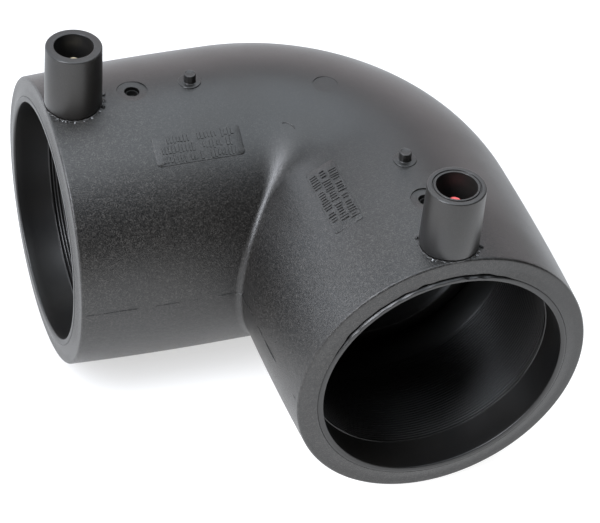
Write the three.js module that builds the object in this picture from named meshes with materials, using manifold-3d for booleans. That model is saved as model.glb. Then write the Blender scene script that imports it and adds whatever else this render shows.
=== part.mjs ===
// A 90 degree electrofusion elbow in black polyethylene, for pipe 90 mm across.
//
// Two equal sockets meet at a right angle. Each holds an inner sleeve with a heating coil wound
// into its bore, and each has a terminal shroud with a pin, and a melt indicator peg, on its crown.
// A link wire round the bend joins the two coils, so the whole elbow is heated in one go.
//
// Lengths are millimetres. While it is modelled, the two socket axes cross at the origin: socket A
// opens towards -X and socket B towards -Y. The finished group is moved so that its origin is the
// middle of the bounding box, at the bottom.

import * as THREE from 'three';
import { mergeVertices } from 'three/addons/utils/BufferGeometryUtils.js';
import Module from 'manifold-3d';

const wasm = await Module();
wasm.setup();

// Driving dimensions.
const LEG = 117; // mouth face to the crossing of the socket axes
const BEND_R = 45.5; // centreline radius of the bend
const MOUTH_R = 55.1; // outside radius at a mouth
const MID_R = 56.7; // outside radius of the barrel's middle and of the bend
const BARREL_LENGTH = 60; // how far the barrel swells before it runs parallel
const BORE_R = 45.4; // bore that takes the pipe
const STOP_DEPTH = 68; // depth of the ledge that stops the pipe
const WATERWAY_R = 40; // bore through the bend
const GAP = 0.3; // clearance between pieces that touch

// Inner sleeve and what is wound into it.
const SLEEVE_R = 47.6;
const SLEEVE_LIP = 0.7; // how far the sleeve stands proud of the mouth
const COIL_START = 14.1;
const COIL_END = 54;
const COIL_INNER_R = 45.5;
const COIL_OUTER_R = 46.7;
const WIRE_R = 0.6;
const WIRE_TRACK_R = 46.8; // distance of the buried wires from the socket axis
const SLOT_FLOOR_R = WIRE_TRACK_R - WIRE_R - GAP;
const SLOT_WIDTH = 2 * (WIRE_R + GAP);

// Terminal shroud and pin, on the crown near the mouth.
const TERMINAL_DEPTH = 10.8;
const SHROUD_TOP = 80.4; // height of its rim over the socket axis
const SHROUD_R = 10.35;
const SHROUD_BASE_R = 10.65;
const SHROUD_BORE_R = 7.2;
const SHROUD_FLOOR = 57.5;
const SHROUD_FOOT_R = 8.2;
const SHROUD_FOOT = 50.3;
const PIN_R = 2.35;
const PIN_BELOW_RIM = 6.4;
const PIN_FOOT = 48.3;
const COLLAR_R = 3.6;
const COLLAR_HEIGHT = 2.2;
const TIP_HEIGHT = 3.4;
const SPIGOT_R = 1.2;
const SPIGOT_HEIGHT = 2;

// Melt indicator peg in its well.
const INDICATOR_DEPTH = 33;
const PEG_R = 2.45;
const PEG_FLANGE_R = 3.7;
const PEG_FOOT = 48.2;
const PEG_FLANGE_HEIGHT = 1;
const PEG_TOP = 54.6;
const PEG_TRAVEL = 3;
const SPOT_FACE_R = 5.7;
const SPOT_FACE_Z = 56.1;

// Moulded stud on its round pad.
const STUD_DEPTH = 55;
const STUD_R = 2.3;
const STUD_TOP = 60.3;
const PAD_R = 4.4;
const PAD_Z = 56.95;

// How finely round shapes are divided.
const ROUND = 48; // sides of the sockets and the bend
const SMALL_ROUND = 24; // sides of pins, pegs and shrouds
const WIRE_ROUND = 8;
const LINK_STEPS = 26; // stretches along the link wire
const RIM_ROUND = 0.9; // radius on the mouth's outer edge

const STRAIGHT = LEG - BEND_R;
const TAU = Math.PI * 2;

// --- joining and cutting -------------------------------------------------------------------------

function signedVolume(positions, triangles) {
  const corners = [new THREE.Vector3(), new THREE.Vector3(), new THREE.Vector3()];
  let volume = 0;
  for (let i = 0; i < triangles.length; i += 3) {
    corners.forEach((corner, k) => corner.fromArray(positions, triangles[i + k] * 3));
    volume += corners[0].dot(corners[1].clone().cross(corners[2])) / 6;
  }
  return volume;
}

function solid(geometry) {
  const plain = new THREE.BufferGeometry();
  plain.setAttribute('position', geometry.getAttribute('position').clone());
  plain.setIndex(geometry.getIndex());
  const merged = mergeVertices(plain, 1e-4);
  const positions = merged.getAttribute('position').array;
  const index = merged.getIndex().array;
  const kept = [];
  for (let i = 0; i < index.length; i += 3) {
    const [a, b, c] = [index[i], index[i + 1], index[i + 2]];
    if (a !== b && b !== c && c !== a) kept.push(a, b, c);
  }
  if (signedVolume(positions, kept) < 0) kept.reverse();
  return new wasm.Manifold(new wasm.Mesh({
    numProp: 3,
    vertProperties: new Float32Array(positions),
    triVerts: new Uint32Array(kept),
  }));
}

function geometryOf(manifold) {
  const mesh = manifold.getMesh();
  const geometry = new THREE.BufferGeometry();
  geometry.setAttribute('position', new THREE.BufferAttribute(mesh.vertProperties, 3));
  geometry.setIndex(new THREE.BufferAttribute(mesh.triVerts, 1));
  const faceted = geometry.toNonIndexed();
  faceted.computeVertexNormals();
  return faceted;
}

// --- basic shapes --------------------------------------------------------------------------------

// Turns an outline of [radius, height] pairs about the Z axis.
function turned(outline, sides) {
  const points = outline.map(([radius, height]) => new THREE.Vector2(radius, height));
  const lathe = new THREE.LatheGeometry(points, sides);
  lathe.rotateX(Math.PI / 2);
  return lathe;
}

// Turns an outline of [radius, depth] pairs about a socket's axis, from the mouth inwards.
function socketTurned(outline) {
  return solid(turned(outline, ROUND).rotateY(Math.PI / 2).translate(-LEG, 0, 0));
}

// A turned piece that stands on the crown line of socket A at the given depth.
function standing(outline, depth, sides = SMALL_ROUND) {
  return solid(turned(outline, sides).translate(-LEG + depth, 0, 0));
}

function rod(radius, low, high, depth, sides = SMALL_ROUND) {
  return standing([[0, low], [radius, low], [radius, high], [0, high]], depth, sides);
}

function block(low, high) {
  const size = high.clone().sub(low);
  const middle = high.clone().add(low).multiplyScalar(0.5);
  return solid(new THREE.BoxGeometry(size.x, size.y, size.z).translate(middle.x, middle.y, middle.z));
}

function wire(path, radius, steps) {
  const section = new THREE.Shape().absarc(0, 0, radius, 0, TAU);
  const options = { extrudePath: path, steps, curveSegments: WIRE_ROUND, bevelEnabled: false };
  return solid(new THREE.ExtrudeGeometry(section, options));
}

function barrelRadius(depth) {
  const left = Math.max(0, 1 - depth / BARREL_LENGTH);
  return MID_R - (MID_R - MOUTH_R) * left * left;
}

// --- the elbow body ------------------------------------------------------------------------------

// The outside of one socket, grown by the given amount.
function barrel(grow) {
  const overlap = 0.2;
  const mouth = -grow;
  const outline = [[0, mouth]];
  for (const turn of [0, 0.5, 1]) {
    const angle = turn * Math.PI / 2;
    const inset = RIM_ROUND * (1 - Math.sin(angle));
    outline.push([MOUTH_R + grow - inset, mouth + RIM_ROUND * (1 - Math.cos(angle))]);
  }
  for (let depth = 10; depth <= BARREL_LENGTH; depth += 10) {
    outline.push([barrelRadius(depth) + grow, depth]);
  }
  outline.push([MID_R + grow, STRAIGHT + overlap], [0, STRAIGHT + overlap]);
  return socketTurned(outline);
}

// A quarter of a ring round the bend's pivot line, with a round section of the given radius. Where
// the section is wider than the bend's own radius, the ring closes up on the pivot line.
function bendSweep(radius) {
  const outline = [];
  const closes = radius > BEND_R;
  const limit = closes ? Math.PI - Math.acos(BEND_R / radius) : Math.PI;
  if (closes) outline.push([0, -radius * Math.sin(limit)]);
  for (let i = -ROUND / 2; i <= ROUND / 2; i += 1) {
    const angle = i * TAU / ROUND;
    if (Math.abs(angle) < limit - 0.02 || !closes) {
      outline.push([BEND_R + radius * Math.cos(angle), radius * Math.sin(angle)]);
    }
  }
  if (closes) outline.push([0, radius * Math.sin(limit)]);
  const ring = solid(turned(outline, ROUND).translate(-BEND_R, -BEND_R, 0));
  const reach = BEND_R + 2 * radius;
  const low = new THREE.Vector3(-BEND_R, -BEND_R, -reach);
  return ring.intersect(block(low, new THREE.Vector3(reach, reach, reach)));
}

function turnToB(manifold) {
  return manifold.rotate([0, 0, 90]);
}

function bothSockets(manifold) {
  return manifold.add(turnToB(manifold));
}

function linkPath(endDepth) {
  const path = new THREE.CurvePath();
  const start = new THREE.Vector3(-LEG + endDepth, WIRE_TRACK_R, 0);
  const sweep = BEND_R + WIRE_TRACK_R;
  let from = start;
  const bendSteps = 16;
  for (let i = 0; i <= bendSteps; i += 1) {
    const angle = (1 - i / bendSteps) * Math.PI / 2;
    const to = new THREE.Vector3(-BEND_R + sweep * Math.cos(angle), -BEND_R + sweep * Math.sin(angle), 0);
    path.add(new THREE.LineCurve3(from, to));
    from = to;
  }
  path.add(new THREE.LineCurve3(from, new THREE.Vector3(WIRE_TRACK_R, -LEG + endDepth, 0)));
  return path;
}

function elbowBody() {
  const outside = bothSockets(barrel(0)).add(bendSweep(MID_R));
  const stud = rod(PAD_R, MID_R - 4, PAD_Z, STUD_DEPTH).add(rod(STUD_R, MID_R - 4, STUD_TOP, STUD_DEPTH));

  const pocketR = SLEEVE_R + GAP;
  const pocket = socketTurned([[0, -1], [pocketR, -1], [pocketR, STOP_DEPTH], [0, STOP_DEPTH]]);
  const throat = [[0, STOP_DEPTH - 1], [WATERWAY_R, STOP_DEPTH - 1], [WATERWAY_R, STRAIGHT + 0.1], [0, STRAIGHT + 0.1]];
  const waterway = bothSockets(pocket.add(socketTurned(throat))).add(bendSweep(WATERWAY_R));

  const above = MID_R + 10;
  const shroudPocket = rod(SHROUD_FOOT_R + GAP, SHROUD_FOOT - GAP, above, TERMINAL_DEPTH);
  const pinHole = rod(PIN_R + GAP, BORE_R, above, TERMINAL_DEPTH);
  const flangeRoom = PEG_FOOT + PEG_FLANGE_HEIGHT + PEG_TRAVEL + 0.2;
  const well = rod(PEG_R + GAP, BORE_R, above, INDICATOR_DEPTH)
    .add(rod(PEG_FLANGE_R + GAP, BORE_R, flangeRoom, INDICATOR_DEPTH))
    .add(rod(SPOT_FACE_R, SPOT_FACE_Z, above, INDICATOR_DEPTH));
  const crownHoles = shroudPocket.add(pinHole).add(well);
  const linkTunnel = wire(linkPath(STOP_DEPTH - 2), WIRE_R + GAP, LINK_STEPS);

  return outside
    .add(bothSockets(stud))
    .subtract(waterway)
    .subtract(bothSockets(crownHoles))
    .subtract(linkTunnel);
}

// --- pieces of one socket, made at socket A ------------------------------------------------------

// side is +1 or -1: the side of the socket that the outer wall of the bend is on.
function coilSleeve(side) {
  const grooveR = COIL_OUTER_R + GAP;
  const end = STOP_DEPTH - GAP;
  const edge = 0.4;
  const ring = socketTurned([
    [BORE_R + edge, -SLEEVE_LIP],
    [SLEEVE_R - edge, -SLEEVE_LIP],
    [SLEEVE_R, -SLEEVE_LIP + edge],
    [SLEEVE_R, end],
    [BORE_R, end],
    [BORE_R, COIL_END + GAP],
    [grooveR, COIL_END + GAP],
    [grooveR, COIL_START - GAP],
    [BORE_R, COIL_START - GAP],
    [BORE_R, -SLEEVE_LIP + edge],
    [BORE_R + edge, -SLEEVE_LIP],
  ]);
  const half = SLOT_WIDTH / 2;
  const leadSlot = block(
    new THREE.Vector3(-LEG + TERMINAL_DEPTH - WIRE_R - 2 * GAP, -half, SLOT_FLOOR_R),
    new THREE.Vector3(-LEG + COIL_START + 1, half, SLEEVE_R + 1),
  );
  const outer = side > 0 ? [SLOT_FLOOR_R, SLEEVE_R + 1] : [-SLEEVE_R - 1, -SLOT_FLOOR_R];
  const linkSlot = block(
    new THREE.Vector3(-LEG + COIL_END - 1, outer[0], -half),
    new THREE.Vector3(-LEG + STOP_DEPTH + 1, outer[1], half),
  );
  return ring.subtract(leadSlot).subtract(linkSlot);
}

function heatingCoil() {
  return socketTurned([
    [COIL_INNER_R, COIL_START],
    [COIL_OUTER_R, COIL_START],
    [COIL_OUTER_R, COIL_END],
    [COIL_INNER_R, COIL_END],
    [COIL_INNER_R, COIL_START],
  ]);
}

function leadWire() {
  const rise = PIN_FOOT - 2 * GAP - WIRE_TRACK_R;
  const x = -LEG + TERMINAL_DEPTH;
  const corner = new THREE.Vector3(x, 0, WIRE_TRACK_R);
  const path = new THREE.CurvePath();
  const bendStart = new THREE.Vector3(x + rise, 0, WIRE_TRACK_R);
  path.add(new THREE.LineCurve3(new THREE.Vector3(-LEG + COIL_START - GAP, 0, WIRE_TRACK_R), bendStart));
  path.add(new THREE.QuadraticBezierCurve3(bendStart, corner, new THREE.Vector3(x, 0, WIRE_TRACK_R + rise)));
  return wire(path, WIRE_R, 8);
}

function terminalShroud() {
  const chamfer = 0.5;
  const bottom = SHROUD_FOOT + 2;
  const outline = [[0, bottom], [SHROUD_BASE_R, bottom], [SHROUD_R, SHROUD_TOP - chamfer]];
  outline.push([SHROUD_R - chamfer, SHROUD_TOP], [0, SHROUD_TOP]);
  const shell = standing(outline, TERMINAL_DEPTH, ROUND).subtract(barrel(GAP));
  const foot = rod(SHROUD_FOOT_R, SHROUD_FOOT, SHROUD_FLOOR + 2, TERMINAL_DEPTH);
  const boreTop = SHROUD_TOP + 1;
  const bore = standing([
    [0, SHROUD_FLOOR],
    [SHROUD_BORE_R - GAP, SHROUD_FLOOR],
    [SHROUD_BORE_R, boreTop],
    [0, boreTop],
  ], TERMINAL_DEPTH);
  const pinHole = rod(PIN_R + GAP, SHROUD_FOOT - 1, SHROUD_FLOOR + 1, TERMINAL_DEPTH);
  const collarRoom = rod(COLLAR_R + GAP, SHROUD_FOOT - 1, SHROUD_FOOT + COLLAR_HEIGHT + GAP, TERMINAL_DEPTH);
  return shell.add(foot).subtract(bore).subtract(pinHole).subtract(collarRoom);
}

function terminalPin(withTip) {
  const top = SHROUD_TOP - PIN_BELOW_RIM;
  const outline = [
    [0, PIN_FOOT],
    [PIN_R, PIN_FOOT],
    [PIN_R, SHROUD_FOOT],
    [COLLAR_R, SHROUD_FOOT],
    [COLLAR_R, SHROUD_FOOT + COLLAR_HEIGHT],
    [PIN_R, SHROUD_FOOT + COLLAR_HEIGHT],
  ];
  if (withTip) {
    const shoulder = top - TIP_HEIGHT - GAP;
    outline.push([PIN_R, shoulder], [SPIGOT_R, shoulder]);
    outline.push([SPIGOT_R, shoulder + SPIGOT_HEIGHT], [0, shoulder + SPIGOT_HEIGHT]);
  } else {
    outline.push([PIN_R, top - 0.8], [PIN_R - 0.8, top], [0, top]);
  }
  return standing(outline, TERMINAL_DEPTH);
}

function pinTip() {
  const top = SHROUD_TOP - PIN_BELOW_RIM;
  const low = top - TIP_HEIGHT;
  const roofInside = low - GAP + SPIGOT_HEIGHT + GAP;
  return standing([
    [SPIGOT_R + GAP, low],
    [PIN_R, low],
    [PIN_R, top - 0.9],
    [PIN_R - 0.4, top - 0.3],
    [PIN_R - 1.2, top],
    [0, top],
    [0, roofInside],
    [SPIGOT_R + GAP, roofInside],
    [SPIGOT_R + GAP, low],
  ], TERMINAL_DEPTH);
}

function meltIndicator() {
  return standing([
    [0, PEG_FOOT],
    [PEG_FLANGE_R, PEG_FOOT],
    [PEG_FLANGE_R, PEG_FOOT + PEG_FLANGE_HEIGHT],
    [PEG_R, PEG_FOOT + PEG_FLANGE_HEIGHT],
    [PEG_R, PEG_TOP - 0.4],
    [PEG_R - 0.4, PEG_TOP],
    [0, PEG_TOP],
  ], INDICATOR_DEPTH);
}

function linkWire() {
  return wire(linkPath(COIL_END + GAP), WIRE_R, LINK_STEPS);
}

// --- materials and assembly ----------------------------------------------------------------------

const finishes = {
  black: { color: 0x26282a, roughness: 0.62, metalness: 0 },
  sleeve: { color: 0x1f2021, roughness: 0.5, metalness: 0 },
  coil: { color: 0x171718, roughness: 0.45, metalness: 0 },
  copper: { color: 0xb06a45, roughness: 0.35, metalness: 1 },
  brass: { color: 0xc9a75a, roughness: 0.3, metalness: 1 },
  red: { color: 0xc8383a, roughness: 0.45, metalness: 0 },
};

function piece(name, manifold, finish) {
  const mesh = new THREE.Mesh(geometryOf(manifold), new THREE.MeshStandardMaterial(finishes[finish]));
  mesh.name = name;
  return mesh;
}

function socketPieces(letter, side, withTip) {
  const group = new THREE.Group();
  group.add(
    piece(`coil_sleeve_${letter}`, coilSleeve(side), 'sleeve'),
    piece(`heating_coil_${letter}`, heatingCoil(), 'coil'),
    piece(`lead_wire_${letter}`, leadWire(), 'copper'),
    piece(`terminal_shroud_${letter}`, terminalShroud(), 'black'),
    piece(`terminal_pin_${letter}`, terminalPin(withTip), 'brass'),
    piece(`melt_indicator_${letter}`, meltIndicator(), 'black'),
  );
  if (withTip) group.add(piece(`pin_tip_${letter}`, pinTip(), 'red'));
  return group;
}

const elbow = new THREE.Group();
const socketA = socketPieces('a', 1, false);
const socketB = socketPieces('b', -1, true);
socketB.rotation.z = Math.PI / 2;
elbow.add(piece('elbow_body', elbowBody(), 'black'), socketA, socketB, piece('link_wire', linkWire(), 'copper'));

// From the crossing of the axes to the middle of the bounding box, at its bottom.
const toMiddle = (LEG + SLEEVE_LIP - MID_R) / 2;
elbow.position.set(toMiddle, toMiddle, MID_R);
elbow.name = 'electrofusion_elbow';

export default elbow;
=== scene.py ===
# %% [markdown]
# # A polyethylene pipe elbow, finished in Blender
# The elbow is an electrofusion fitting: two pipe sockets at a right angle, each with a heating coil
# wound into its bore, a terminal shroud with a pin on its crown, and a peg that rises when the
# plastic under it melts. The CAD frame fixes every size and place. This script makes the surfaces
# that a mould leaves, with their rounded edges, seams and flash, and gives each its finish.

# %% Load the frame
import math

import bmesh
import bpy
import numpy as np
from mathutils import Matrix, Vector


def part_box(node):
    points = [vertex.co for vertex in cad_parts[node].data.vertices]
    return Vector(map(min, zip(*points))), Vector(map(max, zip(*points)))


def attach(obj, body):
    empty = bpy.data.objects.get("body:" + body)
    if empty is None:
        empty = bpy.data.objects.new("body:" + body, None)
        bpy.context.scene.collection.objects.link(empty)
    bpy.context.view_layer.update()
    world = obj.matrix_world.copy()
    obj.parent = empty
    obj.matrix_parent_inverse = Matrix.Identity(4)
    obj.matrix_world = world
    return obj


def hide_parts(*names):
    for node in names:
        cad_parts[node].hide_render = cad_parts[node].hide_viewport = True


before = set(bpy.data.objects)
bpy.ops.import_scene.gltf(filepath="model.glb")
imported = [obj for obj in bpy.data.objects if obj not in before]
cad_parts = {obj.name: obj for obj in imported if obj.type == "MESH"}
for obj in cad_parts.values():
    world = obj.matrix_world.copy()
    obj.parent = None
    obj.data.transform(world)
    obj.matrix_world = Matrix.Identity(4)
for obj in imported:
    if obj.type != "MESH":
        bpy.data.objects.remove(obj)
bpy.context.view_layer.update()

# %% [markdown]
# Places come from the frame: the crossing of the two socket axes from the coils, the mouth plane
# and the barrel's radius from the body, and the depths along a socket from the pieces in socket A.
# The few sizes that no box shows, such as the bend's radius, are named here.

# %% Driving sizes
MM = 0.001
body_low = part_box("elbow_body")[0]
sleeve_low, sleeve_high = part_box("coil_sleeve_a")
coil_low, coil_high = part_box("heating_coil_a")
other_coil_low, other_coil_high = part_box("heating_coil_b")
shroud_low, shroud_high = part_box("terminal_shroud_a")
peg_low, peg_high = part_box("melt_indicator_a")

cross = Vector((
    (other_coil_low.x + other_coil_high.x) / 2,
    (coil_low.y + coil_high.y) / 2,
    (coil_low.z + coil_high.z) / 2,
))
LEG = cross.x - body_low.x
FLASH_ROOM = 0.1 * MM
MID_RADIUS = cross.z - body_low.z - FLASH_ROOM
SWELL = 1.6 * MM
SWELL_LENGTH = 60 * MM
BEND_RADIUS = 45.5 * MM
STRAIGHT = LEG - BEND_RADIUS
BORE_RADIUS = 45.4 * MM
WATERWAY_RADIUS = 40 * MM
GAP = 0.3 * MM
SLEEVE_RADIUS = (sleeve_high.y - sleeve_low.y) / 2
SLEEVE_LIP = body_low.x - sleeve_low.x
STOP_DEPTH = sleeve_high.x - body_low.x + GAP
COIL_START = coil_low.x - body_low.x
COIL_END = coil_high.x - body_low.x
TERMINAL_DEPTH = (shroud_low.x + shroud_high.x) / 2 - body_low.x
SHROUD_TOP = shroud_high.z - cross.z
PEG_DEPTH = (peg_low.x + peg_high.x) / 2 - body_low.x
pivot = cross - Vector((BEND_RADIUS, BEND_RADIUS, 0))
UP = np.array((0.0, 0.0, 1.0))
print(f"leg {LEG / MM:.1f}, barrel radius {MID_RADIUS / MM:.1f}, stop at {STOP_DEPTH / MM:.1f} mm")
print(f"terminal at {TERMINAL_DEPTH / MM:.1f}, peg at {PEG_DEPTH / MM:.1f} mm from the mouth")


# %% [markdown]
# The two sockets are alike, so a piece is worked out once in a socket's own directions: inward
# from the mouth, outward to the side of the bend's long wall, and up. A socket turns such numbers
# into places in the frame. Socket B is socket A seen in a mirror, which is why every closed mesh
# has its faces turned outwards at the end instead of by hand.

# %% A socket and its directions
class Socket:
    def __init__(self, letter, inward, outward):
        self.letter = letter
        self.inward = np.array(inward, float)
        self.outward = np.array(outward, float)
        self.mouth = np.array(cross) - self.inward * LEG

    def place(self, outward, up, depth):
        """Points in the frame from distances outward, up and inward from the mouth's centre."""
        outward, up, depth = np.broadcast_arrays(outward, up, depth)
        across = outward[..., None] * self.outward + up[..., None] * UP
        return self.mouth + across + depth[..., None] * self.inward


SOCKETS = [Socket("a", (1, 0, 0), (0, 1, 0)), Socket("b", (0, 1, 0), (1, 0, 0))]
print("mouth centres:", [np.round(socket.mouth, 4).tolist() for socket in SOCKETS])


# %% [markdown]
# A mould-made surface is mostly rings and turned outlines, so the helpers join a grid of points
# with four-sided faces and turn an outline round an axis. Poles and seams are welded by distance.

# %% Mesh helpers
def grid_faces(rows, columns, loop_rows=False):
    """Four-sided faces of a grid whose columns close on themselves."""
    row = np.arange(rows if loop_rows else rows - 1)
    row, column = np.meshgrid(row, np.arange(columns), indexing="ij")
    right = (column + 1) % columns
    start = row * columns
    below = (row + 1) % rows * columns
    corners = [start + column, start + right, below + right, below + column]
    return np.stack(corners, axis=-1).reshape(-1, 4)


def angles_round(count):
    """Even angles once round a circle."""
    return np.arange(count) * 2 * math.pi / count


def mesh_of(name, points, faces):
    mesh = bpy.data.meshes.new(name)
    mesh.from_pydata(np.asarray(points).reshape(-1, 3).tolist(), [], np.asarray(faces).tolist())
    return mesh


def close_up(mesh, weld=1e-6):
    """Welds poles and seams, and turns the faces of a closed mesh outwards."""
    work = bmesh.new()
    work.from_mesh(mesh)
    bmesh.ops.remove_doubles(work, verts=work.verts, dist=weld)
    bmesh.ops.dissolve_degenerate(work, edges=work.edges, dist=weld / 10)
    bmesh.ops.recalc_face_normals(work, faces=work.faces)
    if work.calc_volume(signed=True) < 0:
        bmesh.ops.reverse_faces(work, faces=work.faces)
    work.to_mesh(mesh)
    work.free()


def ring_mesh(name, rings, loop_rows=False):
    """A closed mesh through a row of rings with equally many points."""
    mesh = mesh_of(name, rings, grid_faces(len(rings), len(rings[0]), loop_rows))
    close_up(mesh)
    return mesh


def move_points(mesh, place, socket, weld=1e-6):
    """Moves a mesh's points to where place(points, socket) puts them, and closes it up."""
    points = np.empty(len(mesh.vertices) * 3)
    mesh.vertices.foreach_get("co", points)
    mesh.vertices.foreach_set("co", place(points.reshape(-1, 3), socket).ravel())
    close_up(mesh, weld)


def new_object(name, data):
    """An object in the scene, holding a mesh, curve, camera or light."""
    made = bpy.data.objects.new(name, data)
    bpy.context.collection.objects.link(made)
    return made


def applied(carrier):
    """What an object's modifiers make of it, as a plain mesh."""
    bpy.context.view_layer.update()
    graph = bpy.context.evaluated_depsgraph_get()
    return bpy.data.meshes.new_from_object(carrier.evaluated_get(graph))


def finished(name, mesh, finish, slot, body="fitting", replaces=(), smooth_to=35):
    """Makes the piece, shades it smooth below the given edge angle and rides it on its body."""
    mesh.materials.clear()
    mesh.materials.append(finish)
    mesh.shade_smooth()
    mesh.set_sharp_from_angle(angle=math.radians(smooth_to))
    piece = new_object(name, mesh)
    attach(piece, body)
    if replaces:
        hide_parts(*replaces)
    print(f"{name}: {len(mesh.polygons)} faces")
    return piece


def rounded(corners, steps=4):
    """An outline with each corner (across, along, radius) rounded off."""
    outline = [corners[0][:2]]
    for before, here, after in zip(corners, corners[1:], corners[2:]):
        corner = Vector(here[:2])
        to_before = (Vector(before[:2]) - corner).normalized()
        to_after = (Vector(after[:2]) - corner).normalized()
        if here[2] == 0:
            outline.append(tuple(corner))
            continue
        half = to_before.angle(to_after) / 2
        centre = corner + (to_before + to_after).normalized() * here[2] / math.sin(half)
        start = corner + to_before * here[2] / math.tan(half) - centre
        end = corner + to_after * here[2] / math.tan(half) - centre
        for step in range(steps + 1):
            outline.append(tuple(centre + start.lerp(end, step / steps).normalized() * here[2]))
    outline.append(corners[-1][:2])
    return outline


def wobble(angles, seed, waves=9, first=2):
    """A smooth random wave round a circle, between about -1 and 1."""
    draw = np.random.default_rng(seed)
    total = np.zeros_like(angles)
    for wave in range(first, first + waves):
        total += np.sin(wave * angles + draw.uniform(0, 2 * math.pi)) * draw.uniform(0.4, 1)
    return total / math.sqrt(waves)


print("mesh helpers ready")

# %% [markdown]
# Materials are written as arithmetic. A Signal is one output of a node tree, and adding or
# multiplying Signals adds the Math nodes. A Bench is a tree being built, for a material or for
# Geometry Nodes. Its first method makes any node, sets it and wires its inputs, and the others are
# short ways to the nodes that are wanted often.


# %% Arithmetic on node sockets
class Signal:
    def __init__(self, bench, socket):
        self.bench = bench
        self.socket = socket

    def math(self, operation, *values):
        return self.bench.node("ShaderNodeMath", {"operation": operation}, dict(enumerate(values)))

    def __add__(self, other):
        return self.math("ADD", self, other)

    __radd__ = __add__

    def __sub__(self, other):
        return self.math("SUBTRACT", self, other)

    def __rsub__(self, other):
        return self.math("SUBTRACT", other, self)

    def __mul__(self, other):
        return self.math("MULTIPLY", self, other)


class Bench:
    def __init__(self, tree):
        self.tree = tree

    def node(self, kind, settings=None, inputs=None, output=0):
        made = self.tree.nodes.new(kind)
        for name, value in (settings or {}).items():
            if name == "stops":
                self.set_stops(made.color_ramp, value)
            else:
                setattr(made, name, value)
        for key, value in (inputs or {}).items():
            if isinstance(value, Signal):
                self.tree.links.new(value.socket, made.inputs[key])
            else:
                made.inputs[key].default_value = value
        return Signal(self, made.outputs[output]) if made.outputs else None

    def set_stops(self, ramp, stops):
        while len(ramp.elements) < len(stops):
            ramp.elements.new(0.5)
        for element, (position, grey) in zip(ramp.elements, stops):
            element.position = position
            element.color = (grey, grey, grey, 1)

    def noise(self, where, size, detail=2.0, roughness=0.5):
        """Noise from 0 to 1 with features of the given size in metres."""
        inputs = {"Vector": where, "Scale": 1 / size, "Detail": detail, "Roughness": roughness}
        return self.node("ShaderNodeTexNoise", None, inputs)

    def ramp(self, signal, low, high):
        """0 below low, 1 above high, straight between them."""
        return self.node("ShaderNodeValToRGB", {"stops": [(low, 0), (high, 1)]}, {0: signal})

    def mix(self, factor, first, second):
        """A colour mixed from two colours, each a tuple or a Signal."""
        inputs = {0: factor, 6: first, 7: second}
        return self.node("ShaderNodeMix", {"data_type": "RGBA"}, inputs, output=2)

    def part(self, vector, axis):
        """One of the three parts of a vector."""
        return self.node("ShaderNodeSeparateXYZ", None, {0: vector}, output=axis)

    def bump(self, height, distance, strength=1.0, **under):
        """A normal tilted by a height, laid over another one if Normal is given."""
        inputs = {"Strength": strength, "Distance": distance, "Height": height, **under}
        return self.node("ShaderNodeBump", None, inputs)

    def chance(self, probability, seed):
        """True at random points, with the given probability."""
        inputs = {"Probability": probability, "Seed": seed}
        return self.node("FunctionNodeRandomValue", {"data_type": "BOOLEAN"}, inputs, output=3)

    def random_vector(self, low, high, seed):
        inputs = {0: low, 1: high, "Seed": seed}
        return self.node("FunctionNodeRandomValue", {"data_type": "FLOAT_VECTOR"}, inputs)


def new_finish(name):
    """An empty material, its Bench and its object coordinates."""
    material = bpy.data.materials.new(name)
    material.use_nodes = True
    material.node_tree.nodes.clear()
    bench = Bench(material.node_tree)
    return material, bench, bench.node("ShaderNodeTexCoord", output="Object")


def surface(bench, colour, roughness, normal, **constants):
    """The shader and the output. Constants are set on the shader's own sockets."""
    inputs = {"Base Color": colour, "Roughness": roughness, "Normal": normal}
    inputs.update({key.replace("_", " "): value for key, value in constants.items()})
    shader = bench.node("ShaderNodeBsdfPrincipled", None, inputs)
    bench.node("ShaderNodeOutputMaterial", None, {"Surface": shader})


print("node helpers ready")

# %% [markdown]
# The body is black polyethylene out of a spark-eroded mould. Such a mould leaves a fine grain, a
# fraction of a millimetre across. The pale specks on the grain's peaks are painted glints: colour
# that stands in for light sparkling off the grain. The grain is strong on the barrels by the inside
# of the bend and fades towards the outside, so its height and its painted glints are scaled along
# the diagonal. Broad, faint patches of roughness keep the sheen from being even. The shrouds,
# sleeves, coils and pegs are smoother plastic, made by the same function.


# %% Black plastic finishes
GRAIN_SHIFT = 80 * MM
GRAIN_SPAN = 150 * MM
BROAD_SIZE = 26 * MM
BROAD_HEIGHT = 0.12 * MM


def black_plastic(name, grey, roughness, grain, grain_size, patches, painted_glint_strength):
    material, bench, where = new_finish(name)
    diagonal = bench.part(where, 0) + bench.part(where, 1)
    outward = bench.ramp((diagonal + GRAIN_SHIFT) * (1 / GRAIN_SPAN), 0.10, 0.58)
    grain_and_glint_share = 1 - outward * 0.8
    fine = bench.noise(where, grain_size, detail=2.0, roughness=0.7)
    coarse = bench.noise(where, grain_size * 2.6, detail=1.0)
    broad = bench.noise(where, BROAD_SIZE, detail=3.0)
    # Painted glints: pale colour on the grain's peaks that stands in for light sparkling off the grain.
    painted_glints = bench.ramp(fine, 0.42, 0.68) * bench.ramp(coarse, 0.2, 0.62) * grain_and_glint_share
    cool = (grey, grey * 0.98, grey * 1.02, 1)
    warm = (grey * 1.2, grey, grey * 0.8, 1)
    pale = (grey + 0.064, grey + 0.059, grey + 0.054, 1)
    colour = bench.mix(bench.ramp(broad, 0.35, 0.65), cool, warm)
    colour = bench.mix(painted_glints * painted_glint_strength, colour, pale)
    sheen = roughness + (broad - 0.5) * patches + (fine - 0.5) * 0.15
    normal = bench.bump(fine * grain_and_glint_share, grain, Normal=bench.bump(broad, BROAD_HEIGHT))
    surface(bench, colour, sheen, normal, IOR=1.51)
    return material


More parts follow.
